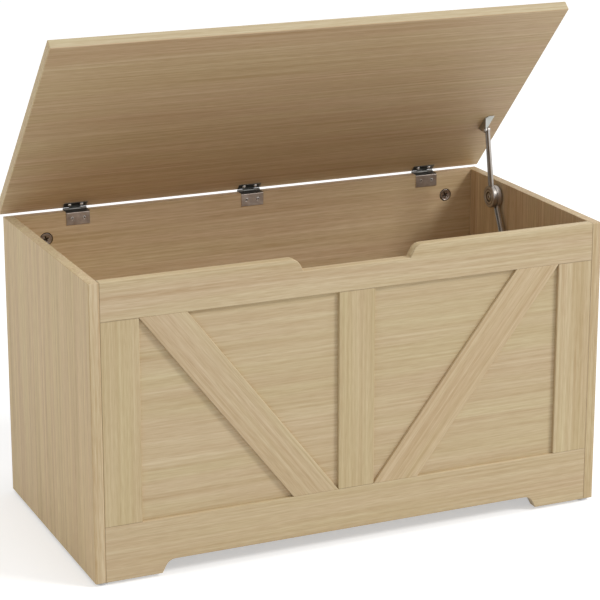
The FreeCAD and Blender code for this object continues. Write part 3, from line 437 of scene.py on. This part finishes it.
# the tree for every turned piece: an outline spun round its own axis, a cross recess in its top,
# and one copy at each place, its top turned to where the place faces
def turnedTree():
    tree = bpy.data.node_groups.new("turnedPieces", "GeometryNodeTree")
    for name, kind, value in (("Places", "Geometry", None), ("Outline", "Object", None), ("Steps", "Int", 48),
                              ("Recess length", "Float", 0.0), ("Recess width", "Float", 0.0),
                              ("Recess depth", "Float", 0.0), ("Loose turn", "Float", 0.0),
                              ("Seed", "Int", 1), ("Finish", "Material", None)):
        item = tree.interface.new_socket(name=name, in_out="INPUT", socket_type="NodeSocket" + kind)
        if value is not None:
            item.default_value = value
    tree.interface.new_socket(name="Geometry", in_out="OUTPUT", socket_type="NodeSocketGeometry")
    given = put(tree, "NodeGroupInput").outputs
    result = put(tree, "NodeGroupOutput")

    outline = put(tree, "GeometryNodeObjectInfo", {"Object": given["Outline"]}).outputs["Geometry"]
    count = put(tree, "GeometryNodeAttributeDomainSize", {"Geometry": outline}, component="MESH")
    points = count.outputs["Point Count"]
    rows = sums(tree, "SUBTRACT", points, 1.0)
    columns = sums(tree, "ADD", given["Steps"], 1.0)
    sheet = put(tree, "GeometryNodeMeshGrid", {"Size X": given["Steps"], "Size Y": rows,
                                               "Vertices X": columns, "Vertices Y": points}).outputs["Mesh"]
    position = put(tree, "GeometryNodeInputPosition").outputs["Position"]
    onSheet = split(tree, position)
    turn = sums(tree, "MULTIPLY", sums(tree, "DIVIDE", onSheet["X"], given["Steps"]), 2 * math.pi)
    row = sums(tree, "ROUND", sums(tree, "MULTIPLY_ADD", rows, 0.5, onSheet["Y"]))

    def onOutline(index):
        inputs = {"Geometry": outline, "Value": position, "Index": index}
        picked = put(tree, "GeometryNodeSampleIndex", inputs, data_type="FLOAT_VECTOR", domain="POINT")
        return split(tree, picked.outputs["Value"])

    point = onOutline(row)
    spun = put(tree, "ShaderNodeCombineXYZ", {
        "X": sums(tree, "MULTIPLY", point["X"], sums(tree, "COSINE", turn)),
        "Y": sums(tree, "MULTIPLY", point["X"], sums(tree, "SINE", turn)),
        "Z": point["Z"]}).outputs["Vector"]
    moved = put(tree, "GeometryNodeSetPosition", {"Geometry": sheet, "Position": spun}).outputs["Geometry"]
    closed = put(tree, "GeometryNodeMergeByDistance", {"Geometry": moved, "Distance": turning["weldInTree"]})
    body = put(tree, "GeometryNodeFlipFaces", {"Mesh": closed.outputs["Geometry"]}).outputs["Mesh"]

    # each blade of the recess is a four-sided cone, so that its walls slope: full size at the top face
    twice = sums(tree, "MULTIPLY", given["Recess depth"], 2.0)
    deep = sums(tree, "SUBTRACT", onOutline(0)["Z"], given["Recess depth"])
    lift = put(tree, "ShaderNodeCombineXYZ", {"Z": deep}).outputs["Vector"]
    slope = turning["recessSlope"]
    wedge = put(tree, "GeometryNodeMeshCone", {"Vertices": 4, "Radius Top": 1 + slope,
                                               "Radius Bottom": 1 - slope, "Depth": twice},
                fill_type="NGON").outputs["Mesh"]
    square = put(tree, "GeometryNodeTransform", {"Geometry": wedge, "Rotation": (0, 0, math.pi / 4)})
    cutOut = put(tree, "GeometryNodeMeshBoolean", {"Mesh 1": body}, operation="DIFFERENCE", solver="EXACT")
    for lengthSide, widthSide in (("X", "Y"), ("Y", "X")):
        size = put(tree, "ShaderNodeCombineXYZ", {
            lengthSide: sums(tree, "MULTIPLY", given["Recess length"], math.sqrt(0.5)),
            widthSide: sums(tree, "MULTIPLY", given["Recess width"], math.sqrt(0.5)), "Z": 1.0})
        blade = put(tree, "GeometryNodeTransform", {"Geometry": square.outputs["Geometry"],
                                                    "Translation": lift, "Scale": size.outputs["Vector"]})
        tree.links.new(blade.outputs["Geometry"], cutOut.inputs["Mesh 2"])
    hasRecess = sums(tree, "GREATER_THAN", given["Recess depth"], 0.0)
    choice = {"Switch": hasRecess, "False": body, "True": cutOut.outputs["Mesh"]}
    piece = put(tree, "GeometryNodeSwitch", choice, input_type="GEOMETRY").outputs["Output"]

    spot = put(tree, "GeometryNodeInputPosition").outputs["Position"]
    marked = put(tree, "GeometryNodeStoreNamedAttribute", {"Geometry": piece, "Name": "spot", "Value": spot},
                 data_type="FLOAT_VECTOR", domain="POINT").outputs["Geometry"]
    facing = put(tree, "GeometryNodeInputNamedAttribute", {"Name": "facing"}, data_type="FLOAT_VECTOR")
    aimed = put(tree, "FunctionNodeAlignRotationToVector", {"Vector": facing.outputs["Attribute"]}, axis="Z")
    copies = put(tree, "GeometryNodeInstanceOnPoints", {"Points": given["Places"], "Instance": marked,
                                                        "Rotation": aimed.outputs["Rotation"]})
    loose = put(tree, "FunctionNodeRandomValue", {"Max": given["Loose turn"], "Seed": given["Seed"]},
                data_type="FLOAT")
    twist = put(tree, "ShaderNodeCombineXYZ", {"Z": loose.outputs["Value"]}).outputs["Vector"]
    turnedCopies = put(tree, "GeometryNodeRotateInstances", {"Instances": copies.outputs["Instances"],
                                                             "Rotation": twist})
    real = put(tree, "GeometryNodeRealizeInstances", {"Geometry": turnedCopies.outputs["Instances"]})
    dressed = put(tree, "GeometryNodeSetMaterial", {"Geometry": real.outputs["Geometry"],
                                                    "Material": given["Finish"]})
    tree.links.new(dressed.outputs["Geometry"], result.inputs["Geometry"])
    return tree


turnedPieces = turnedTree()


def roundedOutline(corners):
    # corners are (radius, height) or (radius, height, ease) in millimetres, from the top of the axis down
    points = []
    for index, corner in enumerate(corners):
        here = Vector(corner[:2])
        if len(corner) < 3:
            points.append(here)
            continue
        before, after = [here + (Vector(corners[index + step][:2]) - here).normalized() * corner[2]
                         for step in (-1, 1)]
        for share in turning["easeShares"]:
            points.append(before * (1 - share) ** 2 + here * 2 * share * (1 - share) + after * share ** 2)
    return points


def makeTurned(name, body, corners, places, finish, replaced, steps, recess=(0, 0, 0), looseTurn=0.0, seed=1):
    # places are (point, facing) in metres
    outlineMesh = bpy.data.meshes.new(name + "_outline")
    line = [(point.x * mm, 0, point.y * mm) for point in roundedOutline(corners)]
    outlineMesh.from_pydata(line, [(i, i + 1) for i in range(len(line) - 1)], [])
    outline = bpy.data.objects.new(name + "_outline", outlineMesh)
    placeMesh = bpy.data.meshes.new(name + "_places")
    placeMesh.from_pydata([point for point, facing in places], [], [])
    facings = placeMesh.attributes.new("facing", "FLOAT_VECTOR", "POINT")
    for index, (point, facing) in enumerate(places):
        facings.data[index].vector = facing
    holder = bpy.data.objects.new(name + "_places", placeMesh)
    for item in (outline, holder):
        bpy.context.scene.collection.objects.link(item)

    length, width, depth = recess
    values = {"Outline": outline, "Steps": steps, "Recess length": length * mm, "Recess width": width * mm,
              "Recess depth": depth * mm, "Loose turn": looseTurn, "Seed": seed, "Finish": finish}
    modifier = holder.modifiers.new("turned", "NODES")
    modifier.node_group = turnedPieces
    for item in turnedPieces.interface.items_tree:
        if item.in_out == "INPUT" and item.name in values:
            modifier[item.identifier] = values[item.name]
    ready = holder.evaluated_get(bpy.context.evaluated_depsgraph_get())
    mesh = bpy.data.meshes.new_from_object(ready)
    holder.modifiers.remove(modifier)
    bpy.data.objects.remove(holder)
    bpy.data.objects.remove(outline)
    return finishPiece(name, mesh, body, replaced)


def finishPiece(name, mesh, body, replaced):
    mesh.name = name
    bm = bmesh.new()
    bm.from_mesh(mesh)
    bmesh.ops.remove_doubles(bm, verts=bm.verts, dist=turning["weldAfter"])
    bmesh.ops.recalc_face_normals(bm, faces=bm.faces)
    bm.to_mesh(mesh)
    bm.free()
    mesh.shade_smooth()
    mesh.set_sharp_from_angle(angle=math.radians(turning["sharpAngle"]))
    piece = bpy.data.objects.new(name, mesh)
    bpy.context.scene.collection.objects.link(piece)
    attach(piece, body)
    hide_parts(*replaced)
    return piece


def onOpenLid(point):
    return lidHinge + lidSwing @ (Vector(point) - lidHinge)


lidUnder = lidSwing @ down

# countersunk screws, flat or with a raised head, in the hinges and in the stay's brackets
screws = {
    "flat": [(0, 0.22), (1.4, 0.20), (2.4, 0.12), (2.9, -0.06, 0.12), (1.4, -1.0, 0.2),
             (1.4, -9.5), (0, -12.5)],
    "raised": [(0, 1.85), (0.9, 1.78), (1.8, 1.42), (2.5, 0.85), (2.9, -0.02, 0.12), (1.4, -1.0, 0.2),
               (1.4, -9.5), (0, -12.5)],
    "recess": (3.6, 0.85, 1.2), "steps": 28, "looseTurn": math.pi / 2, "firstSeed": 3,
    "hingeCenters": (-0.284, -0.002, 0.299), "pitch": 0.0093,
    "backLeaf": (0.172964, 0.4242), "lidLeaf": (0.179964, 0.4363),
    "lidBracket": [(0.3725, 0.079964, 0.4361), (0.3725, 0.068964, 0.4361)],
    "sideBracket": [(0.3785, 0.038627, 0.305421), (0.3785, 0.038627, 0.337421)],
}
hingeScrewXs = [center + side * screws["pitch"] for center in screws["hingeCenters"] for side in (-1, 1)]
screwGroups = {
    "hingeBackScrews": ("chest", "hinge_body_screws", [((x, *screws["backLeaf"]), front)
                                                       for x in hingeScrewXs]),
    "hingeLidScrews": ("lid", "hinge_lid_screws", [(onOpenLid((x, *screws["lidLeaf"])), lidUnder)
                                                   for x in hingeScrewXs]),
    "bracketLidScrews": ("lid", "stay_lid_screws", [(onOpenLid(p), lidUnder) for p in screws["lidBracket"]]),
    "bracketSideScrews": ("chest", "stay_side_screws", [(p, left) for p in screws["sideBracket"]]),
}
for seed, (name, (body, node, places)) in enumerate(screwGroups.items(), screws["firstSeed"]):
    # the screws in the lid leaf take the lighter copy of the nickel, which is painted light
    look, head = ("screwNickelPaintedLight", "raised") if name == "hingeLidScrews" else ("screwNickel", "flat")
    piece = makeTurned(name, body, screws[head], places, finishes[look], [node], screws["steps"],
                       screws["recess"], screws["looseTurn"], seed)
print("screws made:", sum(len(group[2]) for group in screwGroups.values()))

# cam locks: a sunken face with the cross recess, a narrow rim, and the groove round it, which the finish
# darkens with painted shade
cams = {
    "corners": [(0, -0.35), (7.3, -0.35), (7.8, 0.0, 0.2), (8.7, 0.0, 0.3), (8.9, -2.6), (9.95, -2.6),
                (9.95, -12.0), (0, -12.0)],
    "recess": (11.0, 3.0, 2.2), "steps": 44, "looseTurn": 0.6, "firstSeed": 11,
    "xs": (-0.334, 0.334), "heights": (0.3965, 0.0345), "depths": (0.118964, -0.131036),
    "backFace": 0.173964, "frontFace": -0.186036, "underside": 0.0545,
}
camGroups = {
    "camLocksBack": ("back_cam_locks", [((x, cams["backFace"], z), front)
                                        for x in cams["xs"] for z in cams["heights"]]),
    "camLocksFront": ("front_cam_locks", [((x, cams["frontFace"], z), back)
                                          for x in cams["xs"] for z in cams["heights"]]),
    "camLocksBottom": ("bottom_cam_locks", [((x, y, cams["underside"]), down)
                                            for x in cams["xs"] for y in cams["depths"]]),
}
for seed, (name, (node, places)) in enumerate(camGroups.items(), cams["firstSeed"]):
    piece = makeTurned(name, "chest", cams["corners"], places, finishes["camZinc"], [node], cams["steps"],
                       cams["recess"], cams["looseTurn"], seed)
print("cam locks made:", sum(len(group[1]) for group in camGroups.values()))

# feet: soft-edged glides under the side panels' ends
feet = {"corners": [(0, 0.0), (6.9, 0.0, 0.8), (9.5, -1.9, 1.0), (9.5, -4.5), (0, -4.5)],
        "xs": (-0.3825, 0.3825), "ys": (-0.190036, 0.177964), "steps": 40}
piece = makeTurned("feetGlides", "chest", feet["corners"],
                   [((x, y, 0), down) for x in feet["xs"] for y in feet["ys"]],
                   finishes["glidePlastic"], ["feet"], feet["steps"])

# the stay's hub: cap with its rings, and the rivet with a dimple in its head
hub = {
    "place": (0.3625, 0.082464, 0.4113), "capSteps": 96, "rivetSteps": 48,
    "cap": [(3.05, -0.9), (6.7, -0.9, 0.2), (7.9, 0.0, 0.25), (11.2, 0.0, 0.2), (11.4, -0.7), (12.4, -0.7),
            (12.6, 0.0, 0.2), (15.4, 0.0, 0.5), (16.6, -0.4, 0.4), (17.35, -1.6, 0.6),
            (17.35, -5.85), (3.05, -5.85), (3.05, -0.9)],
    "rivet": [(0, -0.75), (1.1, -0.7), (1.8, 0.2, 0.25), (3.9, 0.35, 0.7), (4.6, -0.6), (3.0, -0.6),
              (3.0, -14.0), (4.6, -14.0), (4.6, -15.0), (0, -15.0)],
}
piece = makeTurned("hubCap", "stay_upper", hub["cap"], [(hub["place"], left)], finishes["hubNickel"],
                   ["stay_hub_cap"], hub["capSteps"])
piece = makeTurned("hubRivet", "stay_lower", hub["rivet"], [(hub["place"], left)], finishes["rivetNickel"],
                   ["stay_hub_rivet"], hub["rivetSteps"])
print("feet and hub made")

# floor, light and camera
stage = {
    "floorHalf": 14.0, "floorColors": ((0.76, 0.76, 0.755), (0.78, 0.78, 0.78)), "mottle": (3.0, 3.0),
    "floorRoughness": 0.85, "floorSpecular": 0.1, "floorLift": 0.47, "worldLight": 0.515,
    "aim": (0, 0, 0.3),
    "keyPlace": (5.36, -4.50, 5.96), "keyWatts": 372.0, "keySize": 2.6,
    "topPlace": (0.0, -0.31, 9.29), "topWatts": 125.0, "topSize": 2.6,
}


def seenDirectly(tree):
    # 1 for what the camera sees itself, in a reflection or through glass
    rays = put(tree, "ShaderNodeLightPath").outputs
    mirrored = sums(tree, "MAXIMUM", rays["Is Camera Ray"], rays["Is Glossy Ray"])
    return sums(tree, "MAXIMUM", mirrored, rays["Is Transmission Ray"])


def makeFloor():
    material, tree, shader = newFinish("floorPaint")
    mottle = spreadNoise(tree, noiseAt(tree, objectVector(tree), *stage["mottle"]))
    tree.links.new(blendColors(tree, mottle, *stage["floorColors"]), shader.inputs["Base Color"])
    shader.inputs["Roughness"].default_value = stage["floorRoughness"]
    shader.inputs["Specular IOR Level"].default_value = stage["floorSpecular"]
    # seen directly or in a reflection the floor is near white, the light it throws back stays as it is
    glow = put(tree, "ShaderNodeEmission", {"Color": (1, 1, 1, 1), "Strength": stage["floorLift"]})
    both = put(tree, "ShaderNodeAddShader", {0: shader.outputs["BSDF"], 1: glow.outputs["Emission"]})
    choice = put(tree, "ShaderNodeMixShader", {0: seenDirectly(tree), 1: shader.outputs["BSDF"],
                                               2: both.outputs["Shader"]})
    tree.links.new(choice.outputs["Shader"], tree.nodes["Material Output"].inputs["Surface"])
    mesh = bpy.data.meshes.new("floor")
    half = stage["floorHalf"]
    corners = [(-half, -half, 0), (half, -half, 0), (half, half, 0), (-half, half, 0)]
    mesh.from_pydata(corners, [], [(0, 1, 2, 3)])
    mesh.materials.append(material)
    floor = bpy.data.objects.new("floor", mesh)
    bpy.context.scene.collection.objects.link(floor)


def aimedAt(target, place):
    return (Vector(target) - Vector(place)).to_track_quat("-Z", "Y").to_euler()


def addLamp(name, place, size, watts):
    data = bpy.data.lights.new(name, "AREA")
    data.shape = "DISK"
    data.size = size
    data.energy = watts
    lamp = bpy.data.objects.new(name, data)
    lamp.location = place
    lamp.rotation_euler = aimedAt(stage["aim"], place)
    bpy.context.scene.collection.objects.link(lamp)


makeFloor()
addLamp("keyLamp", stage["keyPlace"], stage["keySize"], stage["keyWatts"])
addLamp("topLamp", stage["topPlace"], stage["topSize"], stage["topWatts"])

world = bpy.data.worlds.new("studio")
bpy.context.scene.world = world
world.use_nodes = True
background = world.node_tree.nodes["Background"].inputs
strength = spread(world.node_tree, seenDirectly(world.node_tree), 0.0, 1.0, stage["worldLight"], 1.0)
world.node_tree.links.new(strength, background["Strength"])
background["Color"].default_value = (1, 1, 1, 1)

view = {"place": (-1.2770, -2.8713, 1.2570), "target": (-0.0014, -0.0060, 0.4032), "lens": 132.37,
        "sensor": 36.0, "shiftY": -0.1}
cameraData = bpy.data.cameras.new("camera")
cameraData.lens = view["lens"]
cameraData.sensor_width = view["sensor"]
cameraData.shift_y = view["shiftY"]
camera = bpy.data.objects.new("camera", cameraData)
camera.location = view["place"]
camera.rotation_euler = aimedAt(view["target"], view["place"])
bpy.context.scene.collection.objects.link(camera)
bpy.context.scene.camera = camera
bpy.context.scene.view_settings.view_transform = "Standard"
print("floor, lamps and camera placed")
